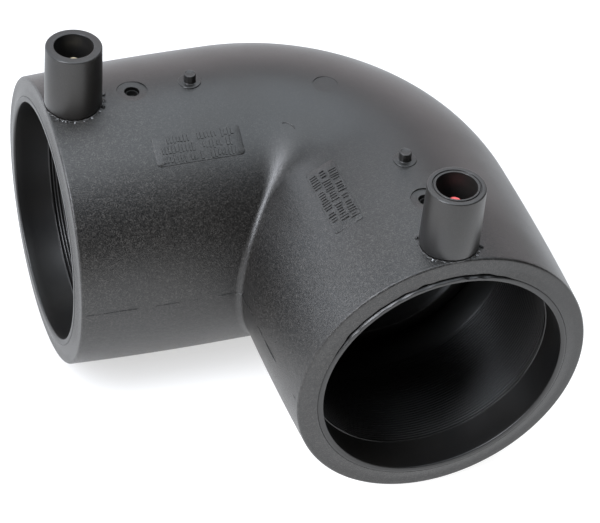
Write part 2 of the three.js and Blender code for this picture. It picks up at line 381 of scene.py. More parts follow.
body_black = black_plastic("body_black", 0.003, 0.37, 0.14 * MM, 0.48 * MM, 0.14, 0.68)
shroud_black = black_plastic("shroud_black", 0.007, 0.39, 0.03 * MM, 0.4 * MM, 0.12, 0.15)
sleeve_black = black_plastic("sleeve_black", 0.003, 0.40, 0.03 * MM, 0.5 * MM, 0.12, 0.05)
coil_black = black_plastic("coil_black", 0.003, 0.40, 0.010 * MM, 0.5 * MM, 0.1, 0.03)
peg_black = black_plastic("peg_black", 0.004, 0.6, 0.015 * MM, 0.5 * MM, 0.1, 0.05)
blacks = (body_black, shroud_black, sleeve_black, coil_black, peg_black)
print("black finishes:", [finish.name for finish in blacks])

# %% [markdown]
# Metals vary in roughness more than in colour. The pins are turned brass, with fine rings round
# the pin left by the tool. The buried wires are drawn copper. The red tip is a small moulded cap,
# and the crumbs of flash round the shrouds are plastic that was torn, which turns pale.


# %% Metals, the red tip and torn plastic
def metal(name, colour, tarnish, roughness, ring_size):
    material, bench, where = new_finish(name)
    blotches = bench.noise(where, 1.6 * MM, detail=3.0)
    phase = bench.part(where, 2) * (2 * math.pi / ring_size)
    normal = bench.bump(phase.math("SINE", phase), 0.006 * MM, strength=0.6)
    tone = bench.mix(bench.ramp(blotches, 0.45, 0.7), colour, tarnish)
    surface(bench, tone, roughness + (blotches - 0.5) * 0.25, normal, Metallic=1.0)
    return material


def tinted_plastic(name, colour, worn, roughness):
    material, bench, where = new_finish(name)
    blotches = bench.noise(where, 1.1 * MM, detail=3.0)
    fine = bench.noise(where, 0.25 * MM, detail=2.0)
    tone = bench.mix(bench.ramp(blotches, 0.45, 0.75), colour, worn)
    sheen = roughness + (blotches - 0.5) * 0.2
    surface(bench, tone, sheen, bench.bump(fine, 0.02 * MM, strength=0.7), IOR=1.5)
    return material


brass = metal("turned_brass", (0.92, 0.80, 0.58, 1), (0.80, 0.68, 0.46, 1), 0.5, 0.22 * MM)
copper = metal("drawn_copper", (0.80, 0.42, 0.27, 1), (0.45, 0.22, 0.14, 1), 0.32, 0.3 * MM)
tip_red = tinted_plastic("tip_red", (0.66, 0.10, 0.10, 1), (0.72, 0.20, 0.19, 1), 0.5)
torn_plastic = tinted_plastic("torn_plastic", (0.06, 0.06, 0.063, 1), (0.42, 0.42, 0.43, 1), 0.5)
print("other finishes:", [finish.name for finish in (brass, copper, tip_red, torn_plastic)])

# %% [markdown]
# ## The camera and the floor
# The view is from above, between the two mouths, and the camera leans a little to one side. It
# aims at a point near the middle of the elbow.

# %% Camera
CAMERA_AZIMUTH = math.radians(-22.3)
CAMERA_HEIGHT = math.radians(41.5)
CAMERA_LEAN = math.radians(5.4)
CAMERA_DISTANCE = 918 * MM
CAMERA_AIM = Vector((1.2, -13.4, 54.9)) * MM
back = Vector((
    math.sin(CAMERA_AZIMUTH) * math.cos(CAMERA_HEIGHT),
    -math.cos(CAMERA_AZIMUTH) * math.cos(CAMERA_HEIGHT),
    math.sin(CAMERA_HEIGHT),
))
camera_data = bpy.data.cameras.new("camera")
camera_data.lens = 146.3
camera_data.sensor_width = 36
camera_data.clip_start = 0.05
camera_data.clip_end = 50
camera = new_object("camera", camera_data)
camera.location = CAMERA_AIM + back * CAMERA_DISTANCE
camera.rotation_mode = "QUATERNION"
level = (-back).to_track_quat("-Z", "Y")
camera.rotation_quaternion = level @ Matrix.Rotation(CAMERA_LEAN, 3, "Z").to_quaternion()
bpy.context.scene.camera = camera
bpy.context.scene.view_settings.view_transform = "Standard"
print("camera at", [round(value, 3) for value in camera.location])

# %% [markdown]
# ## The elbow body
# The body is a round section carried along a path: straight through socket A, round the bend and
# out through socket B. Its inner corner is special. The section is wider than the bend's own
# radius, so on the inside of the bend the two barrels run into each other and meet in a crease
# with a small fillet. Seen from above, each height of the body has an outline with two straight
# sides and a rounded corner, and only the corner's radius changes: it is the distance to the pivot
# line for the outer wall, and falls to the fillet's radius in the crease. One formula gives that
# radius, so the whole skin is one even grid with no cuts.

# %% Rings of the body
COLUMNS = 256
FILLET = 2.6 * MM
FILLET_EASE = 0.8 * MM
around = angles_round(COLUMNS)


def barrel_radius(depth):
    """The barrel swells from the mouth and then runs parallel."""
    left = np.clip(1 - depth / SWELL_LENGTH, 0, 1)
    return MID_RADIUS - SWELL * left**2


def corner_radius(level):
    """Radius of the bend's plan outline at a distance from the pivot line, with the crease eased."""
    eased = FILLET_EASE * np.logaddexp(0, level / FILLET_EASE)
    return np.sqrt(FILLET**2 + eased**2)


def socket_ring(socket, depth, radius, angles=around):
    """Points round the socket's axis. The radius and the depth may vary round it."""
    return socket.place(radius * np.cos(angles), radius * np.sin(angles), depth)


def bend_ring(fraction, radius, creased):
    """A ring some way round the bend, from 0 by socket A to 1 by socket B."""
    level = BEND_RADIUS + radius * np.cos(around)
    corner = corner_radius(level) if creased else level
    angle = (1 - fraction) * math.pi / 2
    x = pivot.x + level - corner + corner * math.cos(angle)
    y = pivot.y + level - corner + corner * math.sin(angle)
    return np.stack([x, y, cross.z + radius * np.sin(around)], axis=-1)


print("crease fillet radius:", FILLET / MM, "mm")

# %% [markdown]
# The mouth is a chain of outline points: out of the waterway over the stop ledge, along the pocket
# that holds the sleeve, over the ring face and round the outer rim. Body and sleeve are bonded, so
# round most of the mouth the face rises to meet the sleeve's lip and only a hairline shows. Over
# the top of mouth B the bond is open, and the lip stands alone beside a dark, ragged seam.

# %% The body's grid
RIM_ROUND = 0.9 * MM
RIM_BACK = 0.03 * MM
RIM_STEPS = 6
POCKET_RADIUS = SLEEVE_RADIUS + 0.04 * MM
SKIN_RINGS = 58
BEND_RINGS = 76
WATERWAY_RINGS = 28
SEAM_START = math.radians(62)
SEAM_END = math.radians(156)
SEAM_EASE = math.radians(14)


def open_seam(socket, angles):
    """1 over the top of mouth B, where the seam is open, and 0 where it is bonded."""
    if socket.letter == "a":
        return 0 * angles
    turn = np.mod(angles, 2 * math.pi)
    return np.clip(np.minimum(turn - SEAM_START, SEAM_END - turn) / SEAM_EASE, 0, 1)


def mouth_rings(socket):
    """From the waterway, over the ledge, up the pocket and over the face to the outer rim."""
    uneven = wobble(around, ord(socket.letter), 44, 14)
    ragged = (0.45 + 0.35 * uneven) * open_seam(socket, around) * MM
    bonded = (1 - open_seam(socket, around)) * (SLEEVE_LIP - 0.12 * MM)
    rim_radius = barrel_radius(RIM_ROUND)
    edge = 0.5 * MM
    outline = [
        (WATERWAY_RADIUS, STRAIGHT),
        (WATERWAY_RADIUS, STOP_DEPTH + edge),
        (WATERWAY_RADIUS + 0.3 * edge, STOP_DEPTH + 0.3 * edge),
        (WATERWAY_RADIUS + edge, STOP_DEPTH),
        (POCKET_RADIUS, STOP_DEPTH),
        (POCKET_RADIUS, 3 * MM),
        (POCKET_RADIUS, 0.6 * MM),
        (POCKET_RADIUS + ragged, 0.1 * MM - bonded),
        (POCKET_RADIUS + 0.12 * MM + ragged, -bonded),
        (POCKET_RADIUS + 1.0 * MM, -0.75 * bonded),
        (POCKET_RADIUS + 2.4 * MM, -0.25 * bonded),
        (POCKET_RADIUS + 3.6 * MM, 0),
        (rim_radius - 2.6 * MM, RIM_BACK),
    ]
    for step in range(RIM_STEPS + 1):
        angle = step / RIM_STEPS * math.pi / 2
        across = rim_radius - RIM_ROUND * (1 - math.sin(angle))
        outline.append((across, RIM_BACK + RIM_ROUND * (1 - math.cos(angle))))
    return [socket_ring(socket, depth, radius) for radius, depth in outline]


def barrel_rings(socket):
    """From the rim to where the bend's corner starts, which is earlier in the crease."""
    level = BEND_RADIUS + MID_RADIUS * np.cos(around)
    tangent = STRAIGHT + level - corner_radius(level)
    rings = []
    for step in range(1, SKIN_RINGS + 1):
        depth = RIM_ROUND + RIM_BACK + (tangent - RIM_ROUND) * step / SKIN_RINGS
        rings.append(socket_ring(socket, depth, barrel_radius(depth)))
    return rings


socket_a, socket_b = SOCKETS
skin = barrel_rings(socket_a)
skin += [bend_ring(step / BEND_RINGS, MID_RADIUS, True) for step in range(1, BEND_RINGS)]
skin += barrel_rings(socket_b)[::-1]
rings = mouth_rings(socket_a) + skin + mouth_rings(socket_b)[::-1]
for step in range(1, WATERWAY_RINGS):
    rings.append(bend_ring(1 - step / WATERWAY_RINGS, WATERWAY_RADIUS, False))
body_mesh = ring_mesh("elbow_moulding", rings, loop_rows=True)
print(f"{len(rings)} rings of {COLUMNS}: {len(body_mesh.polygons)} faces")


# %% [markdown]
# Turned shapes stand upright on a socket's crown, such as the studs, the shrouds and the cutters of
# the wells. A turned shape is an outline of distance from its own axis and height over the socket's
# axis. Where a height should follow the barrel, it is measured from the barrel's own surface.

# %% Turned pieces on the crown
def crown_height(socket_depth, outward):
    """Height of the barrel's surface over the socket's axis."""
    radius = barrel_radius(socket_depth)
    return np.sqrt(np.maximum(radius**2 - outward**2, 0))


def standing_ring(socket, depth, across, height, angles):
    """Points round an upright line that stands on the crown at the given depth."""
    return socket.place(across * np.sin(angles), height, depth + across * np.cos(angles))


def turned_mesh(name, socket, depth, outline, sides):
    angles = angles_round(sides)
    rings = [standing_ring(socket, depth, across, height, angles) for across, height in outline]
    return ring_mesh(name, rings)


def turned_piece(name, socket, depth, outline, finish, slot, **options):
    mesh = turned_mesh(name, socket, depth, outline, 64)
    finished(name, mesh, finish, slot, smooth_to=50, **options)


print("crown of the barrel at the peg:", round(float(crown_height(PEG_DEPTH, 0)) / MM, 2), "mm")

# %% [markdown]
# Three hollows are cut into the body's top. Each melt indicator sits in a stepped well: a wide, shallow
# spot face at the top, a hole that the peg rises through, and a wider room for the peg's flange.
# The third is the round mark of a mould insert on top of the bend. Boolean modifiers cut them, on a
# grid fine enough that the cuts disturb only the faces beside them.

# %% Wells and the mould mark
SPOT_RADIUS = 5.7 * MM
SPOT_HEIGHT = 55.8 * MM
HOLE_RADIUS = 2.75 * MM
FLANGE_ROOM_RADIUS = 4 * MM
FLANGE_ROOM_TOP = 52.4 * MM
ABOVE = MID_RADIUS + 4 * MM
MARK_RADIUS = 4.75 * MM
MARK_DEPTH = 0.26 * MM


def cutter(name, mesh):
    mesh.materials.append(body_black)
    return new_object(name, mesh)


def cut(mesh, cutters):
    """The mesh with every cutter taken away, as a plain mesh."""
    carrier = new_object("carrier", mesh)
    for tool in cutters:
        modifier = carrier.modifiers.new("cut", "BOOLEAN")
        modifier.operation = "DIFFERENCE"
        modifier.solver = "EXACT"
        modifier.object = tool
    result = applied(carrier)
    for leftover in [carrier, *cutters]:
        bpy.data.objects.remove(leftover)
    return result


well_outline = rounded([
    (0, BORE_RADIUS, 0),
    (FLANGE_ROOM_RADIUS, BORE_RADIUS, 0),
    (FLANGE_ROOM_RADIUS, FLANGE_ROOM_TOP, 0),
    (HOLE_RADIUS, FLANGE_ROOM_TOP, 0),
    (HOLE_RADIUS, SPOT_HEIGHT, 0.25 * MM),
    (SPOT_RADIUS, SPOT_HEIGHT, 0.12 * MM),
    (SPOT_RADIUS + 0.15 * MM, ABOVE, 0),
    (0, ABOVE, 0),
])
tools = []
for socket in SOCKETS:
    well = turned_mesh(f"well_{socket.letter}", socket, PEG_DEPTH, well_outline, 96)
    tools.append(cutter(f"well_tool_{socket.letter}", well))
mark_outline = [(0, MID_RADIUS - MARK_DEPTH), (MARK_RADIUS, MID_RADIUS - MARK_DEPTH)]
mark_outline += [(MARK_RADIUS + 0.1 * MM, ABOVE), (0, ABOVE)]
mark_mesh = turned_mesh("mould_mark", socket_a, LEG, mark_outline, 72)
across_bend = BEND_RADIUS * (1 - math.sqrt(0.5))
mark_mesh.transform(Matrix.Translation((-across_bend, -across_bend, 0)))
tools.append(cutter("mark_tool", mark_mesh))
body_mesh.materials.append(body_black)
cut_body = cut(body_mesh, tools)
finished("elbow_moulding", cut_body, body_black, "body_black", replaces=["elbow_body"], smooth_to=32)

# %% [markdown]
# A round stud stands on a low pad on each crown, further in than the well. The stud's top is
# slightly dished and its foot has a small fillet, as moulded studs have.

# %% Studs and pads
STUD_DEPTH = 55 * MM
STUD_TOP = 60.3 * MM
STUD_RADIUS = 2.3 * MM
PAD_RADIUS = 4.3 * MM
PAD_TOP = 56.82 * MM
stud_outline = rounded([
    (0, STUD_TOP - 0.25 * MM, 0),
    (1.6 * MM, STUD_TOP - 0.12 * MM, 0.3 * MM),
    (1.85 * MM, STUD_TOP, 0.1 * MM),
    (STUD_RADIUS - 0.05 * MM, STUD_TOP - 0.1 * MM, 0.2 * MM),
    (STUD_RADIUS, PAD_TOP + 0.04 * MM, 0.3 * MM),
    (PAD_RADIUS, PAD_TOP, 0.3 * MM),
    (PAD_RADIUS + 0.1 * MM, 55.4 * MM, 0),
    (0, 55.2 * MM, 0),
])
for socket in SOCKETS:
    name = f"stud_{socket.letter}"
    turned_piece(name, socket, STUD_DEPTH, stud_outline, body_black, "body_black")

# %% [markdown]
# Each barrel carries a low rectangular plate with three rows of raised marks. On the real thing
# the marks are writing. Here they are plain dashes that say nothing. The plate is made flat on the
# bench, with x along the socket and y round the barrel, and is then wrapped onto the barrel. The
# dashes are Geometry Nodes: a grid of points, some left out at random, with a small bar on each,
# stretched at random.


# %% Plates
PLATE_LENGTH = 33 * MM
PLATE_WIDTH = 11.6 * MM
PLATE_HEIGHT = 0.3 * MM
PLATE_CORNER = 1.2 * MM
PLATE_DEPTH = 50.3 * MM
PLATE_ANGLE = math.radians(60.2)


def wrapped(points, socket):
    """Flat points laid on the barrel's inner side, at the plate's depth and angle."""
    along = PLATE_DEPTH + points[:, 0]
    turn = PLATE_ANGLE + points[:, 1] / MID_RADIUS
    reach = barrel_radius(along) + points[:, 2]
    return socket.place(-reach * np.cos(turn), reach * np.sin(turn), along)


def plate_outline(steps=10):
    """A rectangle with rounded corners, its long sides divided so that it can be wrapped."""
    half_x = PLATE_LENGTH / 2 - PLATE_CORNER
    half_y = PLATE_WIDTH / 2 - PLATE_CORNER
    outline = []
    for quarter, (side_x, side_y) in enumerate([(1, 1), (-1, 1), (-1, -1), (1, -1)]):
        for step in range(steps + 1):
            angle = (quarter + step / steps) * math.pi / 2
            x = side_x * half_x + PLATE_CORNER * math.cos(angle)
            y = side_y * half_y + PLATE_CORNER * math.sin(angle)
            outline.append((x, y))
    return np.array(outline)


def plate_mesh(name):
    outline = plate_outline()
    bevel = 0.08 * MM
    low = -0.4 * MM
    inner = 1 - bevel / (PLATE_WIDTH / 2)
    profile = [(scale, PLATE_HEIGHT) for scale in (0, 0.25, 0.5, 0.75, inner)]
    profile += [(1, PLATE_HEIGHT - bevel), (1.01, low), (0.5, low), (0, low)]
    rings = []
    for scale, height in profile:
        rings.append(np.insert(outline * scale, 2, height, axis=1))
    return mesh_of(name, rings, grid_faces(len(rings), len(outline)))


# %% A tree for rows of dashes
def geometry_tree(name, inputs):
    """A Geometry Nodes tree with the named inputs, as (bench, signals, identifiers)."""
    tree = bpy.data.node_groups.new(name, "GeometryNodeTree")
    tree.interface.new_socket("Geometry", in_out="OUTPUT", socket_type="NodeSocketGeometry")
    identifiers = {}
    for label, kind in inputs:
        made = tree.interface.new_socket(label, in_out="INPUT", socket_type=f"NodeSocket{kind}")
        identifiers[label] = made.identifier
    bench = Bench(tree)
    source = tree.nodes.new("NodeGroupInput")
    signals = {label: Signal(bench, source.outputs[label]) for label, _ in inputs}
    return bench, signals, identifiers


def close_tree(bench, geometry, material):
    """Every tree ends by realizing its instances and giving them their finish."""
    real = bench.node("GeometryNodeRealizeInstances", None, {0: geometry})
    coated = bench.node("GeometryNodeSetMaterial", None, {"Geometry": real, "Material": material})
    bench.node("NodeGroupOutput", None, {0: coated})
    return bench.tree


def mesh_from_tree(name, tree, identifiers, values, base=None):
    """Runs a tree on an object and gives back its result as a plain mesh."""
    carrier = new_object(name, base or bpy.data.meshes.new(name))
    modifier = carrier.modifiers.new(name, "NODES")
    modifier.node_group = tree
    for label, value in values.items():
        modifier[identifiers[label]] = value
    result = applied(carrier)
    bpy.data.objects.remove(carrier)
    result.name = name
    return result


dash_inputs = [
    ("Row length", "Float"), ("Rows height", "Float"), ("Rows", "Int"), ("Marks", "Int"),
    ("Bar size", "Vector"), ("Kept", "Float"), ("Seed", "Int"), ("Finish", "Material"),
]
bench, given, dash_sockets = geometry_tree("rows_of_dashes", dash_inputs)
points = bench.node("GeometryNodeMeshGrid", None, {
    "Size X": given["Row length"], "Size Y": given["Rows height"],
    "Vertices X": given["Marks"], "Vertices Y": given["Rows"],
})
kept = bench.node("GeometryNodeDeleteGeometry", {"domain": "POINT"}, {
    "Geometry": points, "Selection": bench.chance(1 - given["Kept"], given["Seed"]),
})
bar = bench.node("GeometryNodeMeshCube", None, {"Size": given["Bar size"]})
stretch = bench.random_vector((0.45, 0.5, 1.0), (1.25, 1.0, 1.0), given["Seed"])
bars = bench.node("GeometryNodeInstanceOnPoints", None, {
    "Points": kept, "Instance": bar, "Scale": stretch,
})
dash_tree = close_tree(bench, bars, given["Finish"])
print("dash tree:", len(dash_tree.nodes), "nodes")

# %% Plates and dashes on both barrels
for socket in SOCKETS:
    plate = plate_mesh(f"plate_{socket.letter}")
    move_points(plate, wrapped, socket)
    finished(f"plate_{socket.letter}", plate, body_black, "body_black", smooth_to=40)
    dashes = mesh_from_tree(f"dashes_{socket.letter}", dash_tree, dash_sockets, {
        "Row length": 27 * MM, "Rows height": 7.4 * MM, "Rows": 3, "Marks": 22,
        "Bar size": (0.85 * MM, 3.4 * MM, 0.42 * MM), "Kept": 0.84,
        "Seed": 5 + ord(socket.letter), "Finish": body_black,
    })
    dashes.transform(Matrix.Translation((0, 0, PLATE_HEIGHT + 0.05 * MM)))
    move_points(dashes, wrapped, socket)
    finished(f"dashes_{socket.letter}", dashes, body_black, "body_black", smooth_to=30)

# %% [markdown]
# The mould closes at mid height, and a thread of flash stands along that line: along both sides of
# both barrels, round the outside of the bend and through the crease. Geometry Nodes lay a thin
# round thread along the path and let noise swell and starve it, so it comes and goes.

# %% A tree for flash
def tube_along(bench, path, sides, radius, **scale):
    """A round tube along a curve, with its ends closed."""
    inputs = {"Resolution": sides, "Radius": radius}
    section = bench.node("GeometryNodeCurvePrimitiveCircle", None, inputs)
    inputs = {"Curve": path, "Profile Curve": section, "Fill Caps": True, **scale}
    return bench.node("GeometryNodeCurveToMesh", None, inputs)


flash_inputs = [
    ("Geometry", "Geometry"), ("Thickness", "Float"), ("Unevenness", "Float"),
    ("Patches per metre", "Float"), ("Finish", "Material"),
]
bench, given, flash_sockets = geometry_tree("thread_of_flash", flash_inputs)
place = bench.node("GeometryNodeInputPosition")
patchy = bench.node("ShaderNodeTexNoise", None, {
    "Vector": place, "Scale": given["Patches per metre"], "Detail": 3.0,
})
swell = 1.05 - (1 - bench.ramp(patchy, 0.46, 0.58)) * given["Unevenness"]
tube = tube_along(bench, given["Geometry"], 6, given["Thickness"], Scale=swell)
flash_tree = close_tree(bench, tube, given["Finish"])


def flash_along(name, path, thickness, unevenness, patch):
    curve = bpy.data.curves.new(name, "CURVE")
    curve.dimensions = "3D"
    spline = curve.splines.new("POLY")
    spline.points.add(len(path) - 1)
    spline.points.foreach_set("co", np.insert(path, 3, 1, axis=1).ravel())
    return mesh_from_tree(name, flash_tree, flash_sockets, {
        "Thickness": thickness, "Unevenness": unevenness, "Patches per metre": 1 / patch,
        "Finish": body_black,
    }, base=curve)


half_column = COLUMNS // 2
sides = [("outer", 0, 0.1 * MM, 0.16 * MM), ("inner", half_column, 0.04 * MM, 0.32 * MM)]
for side, column, sunk, thickness in sides:
    path = np.array([ring[column] for ring in skin])
    inward = np.array([ring[(column + half_column) % COLUMNS] for ring in skin]) - path
    path = path + inward * sunk / np.linalg.norm(inward, axis=1, keepdims=True)
    thread = flash_along(f"parting_flash_{side}", path, thickness, 1.0, 10 * MM)
    finished(f"parting_flash_{side}", thread, body_black, "body_black", smooth_to=80)

# %% [markdown]
# Just above the crease a mould pin left a small curved witness mark, which is a thread too. Its
# height at each point comes from the bend's own formula.

# %% Witness mark
WITNESS_RADIUS = 2.7 * MM
WITNESS_REACH = 21.4 * MM
WITNESS_ASIDE = -3.2 * MM


def bend_height(x, y):
    """Height of the bend's outer skin over a point, by its distance from the pivot line."""
    level = np.hypot(x - pivot.x, y - pivot.y)
    return cross.z + np.sqrt(MID_RADIUS**2 - (BEND_RADIUS - level) ** 2)


turns = np.linspace(0.1, 0.9, 24) * math.pi
diagonal = math.sqrt(0.5)
ahead = WITNESS_REACH + WITNESS_RADIUS * 0.5 * np.sin(turns)
aside = WITNESS_ASIDE + WITNESS_RADIUS * np.cos(turns)
mark_x = pivot.x + (ahead + aside) * diagonal
mark_y = pivot.y + (ahead - aside) * diagonal
mark_path = np.stack([mark_x, mark_y, bend_height(mark_x, mark_y)], axis=-1)
witness = flash_along("witness_mark", mark_path, 0.28 * MM, 0.3, 4 * MM)
finished("witness_mark", witness, body_black, "body_black", smooth_to=80)

# %% [markdown]
# ## What the sockets hold
# The sleeve is a ring inside the mouth. Its lip stands just proud of the body, with a rounded inner
# edge that catches the light. Where the seam is open the lip's outer edge is eaten away unevenly.
# Inside, the plain cold zone by the mouth ends at a step, and the winding starts behind it.


# %% Sleeves
def socket_turned(name, socket, outline, sides):
    """A closed outline of (radius, depth) turned about the socket's axis."""
    rings = [socket_ring(socket, depth, radius, angles_round(sides)) for radius, depth in outline]
    return ring_mesh(name, rings, loop_rows=True)


SLEEVE_SIDES = 360
GROOVE_RADIUS = (coil_high.y - coil_low.y) / 2 + GAP
COLD_RADIUS = BORE_RADIUS + 0.25 * MM
STEP_RADIUS = BORE_RADIUS - 0.22 * MM


def sleeve_outline(socket):
    turn = angles_round(SLEEVE_SIDES)
    seam = open_seam(socket, turn)
    eaten = seam * (0.66 + 0.36 * wobble(turn, 7 + ord(socket.letter), 50, 16)) * MM
    sunk = seam * (0.55 + 0.15 * wobble(turn, 9 + ord(socket.letter), 30, 6)) * MM
    low_step = 0.25 * MM * wobble(turn, 3, 14, 3)
    lip = SLEEVE_LIP
    front = COIL_START - GAP
    return [
        (SLEEVE_RADIUS - 0.75 * MM - 0.3 * eaten, -lip),
        (SLEEVE_RADIUS - 0.14 * MM - eaten, -lip + 0.02 * MM),
        (SLEEVE_RADIUS - 0.02 * MM - eaten, -lip + 0.14 * MM),
        (SLEEVE_RADIUS - 0.6 * eaten, -lip + 0.5 * MM + sunk),
        (SLEEVE_RADIUS, 1.6 * MM),
        (SLEEVE_RADIUS, STOP_DEPTH - GAP),
        (BORE_RADIUS + 0.2 * MM, STOP_DEPTH - GAP),
        (BORE_RADIUS, STOP_DEPTH - GAP - 0.2 * MM),
        (BORE_RADIUS, COIL_END + GAP),
        (GROOVE_RADIUS, COIL_END + GAP),
        (GROOVE_RADIUS, front),
        (STEP_RADIUS + 0.06 * MM, front),
        (STEP_RADIUS, front - 0.12 * MM),
        (STEP_RADIUS, front - 0.45 * MM),
        (STEP_RADIUS + 0.08 * MM, front - 0.62 * MM + 0.3 * low_step),
        (COLD_RADIUS - 0.06 * MM, front - 0.74 * MM + 0.3 * low_step),
        (COLD_RADIUS, front - 0.95 * MM),
        (COLD_RADIUS - 0.05 * MM, 3 * MM),
        (BORE_RADIUS, -lip + 0.8 * MM),
        (BORE_RADIUS + 0.05 * MM, -lip + 0.34 * MM),
        (BORE_RADIUS + 0.22 * MM, -lip + 0.1 * MM),
        (BORE_RADIUS + 0.5 * MM, -lip),
    ]


for socket in SOCKETS:
    sleeve = socket_turned(f"sleeve_{socket.letter}", socket, sleeve_outline(socket), SLEEVE_SIDES)
    finished(f"sleeve_{socket.letter}", sleeve, sleeve_black, "sleeve_black",
             replaces=[f"coil_sleeve_{socket.letter}"], smooth_to=48)

# %% [markdown]
# The heating coil is one wire wound edge to edge, some 32 turns deep, under a thin covering that
# leaves only its ridges showing. Geometry Nodes wind it: a spiral of constant radius with a small
# circle carried along it. The covering is a plain ring just under the tops of the ridges.

# %% A tree for the winding
wind_inputs = [
    ("Coil radius", "Float"), ("Length", "Float"), ("Turns", "Float"), ("Points per turn", "Int"),
    ("Wire radius", "Float"), ("Finish", "Material"),
]
bench, given, wind_sockets = geometry_tree("wound_wire", wind_inputs)
spiral = bench.node("GeometryNodeCurveSpiral", None, {
    "Resolution": given["Points per turn"], "Rotations": given["Turns"],
    "Start Radius": given["Coil radius"], "End Radius": given["Coil radius"], "Height": given["Length"],
})
wound = tube_along(bench, spiral, 8, given["Wire radius"])
wind_tree = close_tree(bench, wound, given["Finish"])
COIL_RADIUS = (coil_high.y - coil_low.y) / 2
WIRE_PITCH = 1.2 * MM
WIRE_RADIUS = 0.56 * MM
COVER_DEPTH = 0.2 * MM
COIL_SPARE = 0.1 * MM
wound_length = COIL_END - COIL_START - 2 * WIRE_RADIUS - 2 * COIL_SPARE


def into_socket(points, socket):
    """The winding's points, laid along the socket from the coil's start."""
    depth = COIL_START + WIRE_RADIUS + COIL_SPARE + points[:, 2]
    return socket.place(points[:, 0], points[:, 1], depth)


for socket in SOCKETS:
    winding = mesh_from_tree(f"winding_{socket.letter}", wind_tree, wind_sockets, {
        "Coil radius": COIL_RADIUS - WIRE_RADIUS - 0.05 * MM, "Length": wound_length,
        "Turns": wound_length / WIRE_PITCH, "Points per turn": 120,
        "Wire radius": WIRE_RADIUS, "Finish": coil_black,
    })
    move_points(winding, into_socket, socket, weld=1e-8)
    finished(f"winding_{socket.letter}", winding, coil_black, "coil_covering",
             replaces=[f"heating_coil_{socket.letter}"], smooth_to=80)
    cover_inner = COIL_RADIUS - 2 * WIRE_RADIUS - 0.05 * MM + COVER_DEPTH
    cover_outline = [
        (cover_inner, COIL_START - GAP),
        (COIL_RADIUS, COIL_START - GAP),
        (COIL_RADIUS, COIL_END + GAP),
        (BORE_RADIUS + 0.02 * MM, COIL_END + GAP),
        (BORE_RADIUS - 0.02 * MM, COIL_END - 0.2 * MM),
        (cover_inner, COIL_END - 1.2 * MM),
    ]
    cover = socket_turned(f"coil_cover_{socket.letter}", socket, cover_outline, 256)
    finished(f"coil_cover_{socket.letter}", cover, coil_black, "coil_covering", smooth_to=30)

# %% [markdown]
# ## Terminals
# Each shroud is a smooth tube that widens slightly to its foot. The foot follows the barrel, so
# its lowest ring takes its height from the barrel's surface and then tucks under, which leaves the
# dark crevice. The rim of shroud A is flat. The rim of shroud B has a raised edge round the bore.

# %% Shrouds
SHROUD_RADIUS = 10.3 * MM
SHROUD_FOOT_RADIUS = (shroud_high.x - shroud_low.x) / 2 - 0.03 * MM
SHROUD_BORE = 7.2 * MM
SHROUD_FLOOR = 57.5 * MM
SHROUD_SIDES = 128
RIM_GROOVES = {"a": 0.03 * MM, "b": 0.45 * MM}


def shroud_wall(groove):
    return rounded([
        (0, SHROUD_FLOOR, 0),
        (SHROUD_BORE - 0.3 * MM, SHROUD_FLOOR, 0.6 * MM),
        (SHROUD_BORE, SHROUD_TOP, 0.22 * MM),
        (SHROUD_BORE + 0.75 * MM, SHROUD_TOP, 0.12 * MM),
        (SHROUD_BORE + 0.9 * MM, SHROUD_TOP - groove, 0.08 * MM),
        (SHROUD_BORE + 1.2 * MM, SHROUD_TOP - groove, 0.08 * MM),
        (SHROUD_BORE + 1.4 * MM, SHROUD_TOP - 0.02 * MM, 0.12 * MM),
        (SHROUD_RADIUS, SHROUD_TOP - 0.02 * MM, 0.55 * MM),
        (SHROUD_RADIUS + 0.2 * MM, SHROUD_TOP - 14 * MM, 0),
    ])


def ground(across, angles):
    """Height of the barrel's surface on a ring round the terminal."""
    return crown_height(TERMINAL_DEPTH + across * np.cos(angles), across * np.sin(angles))


foot_profile = [(0, 0.9), (-0.06, 0.55), (-0.3, 0.3), (-0.6, 0.1), (-0.75, -0.6), (-10.4, -0.9)]


def shroud_mesh(socket):
    angles = angles_round(SHROUD_SIDES)
    rings = []
    for across, height in shroud_wall(RIM_GROOVES[socket.letter]):
        rings.append(standing_ring(socket, TERMINAL_DEPTH, across, height, angles))
    for widening, lift in foot_profile:
        across = SHROUD_FOOT_RADIUS + widening * MM
        height = ground(across, angles) + lift * MM
        rings.append(standing_ring(socket, TERMINAL_DEPTH, across, height, angles))
    return ring_mesh(f"shroud_{socket.letter}", rings)


for socket in SOCKETS:
    finished(f"shroud_{socket.letter}", shroud_mesh(socket), shroud_black, "shroud_black",
             replaces=[f"terminal_shroud_{socket.letter}"], smooth_to=45)

# %% [markdown]
# Plastic squeezes out where the shroud meets the body: a low, uneven skirt of flash with torn
# crumbs round it. The skirt is a ring whose width wobbles, trimmed where the mouth's edge cuts it
# off. The crumbs are Geometry Nodes: points on a circle, most left out, none beyond the mouth's
# edge, each with a tiny turned and stretched lump. Some are pale and torn, some black.


# %% Skirts of flash
SKIRT_SIDES = 160


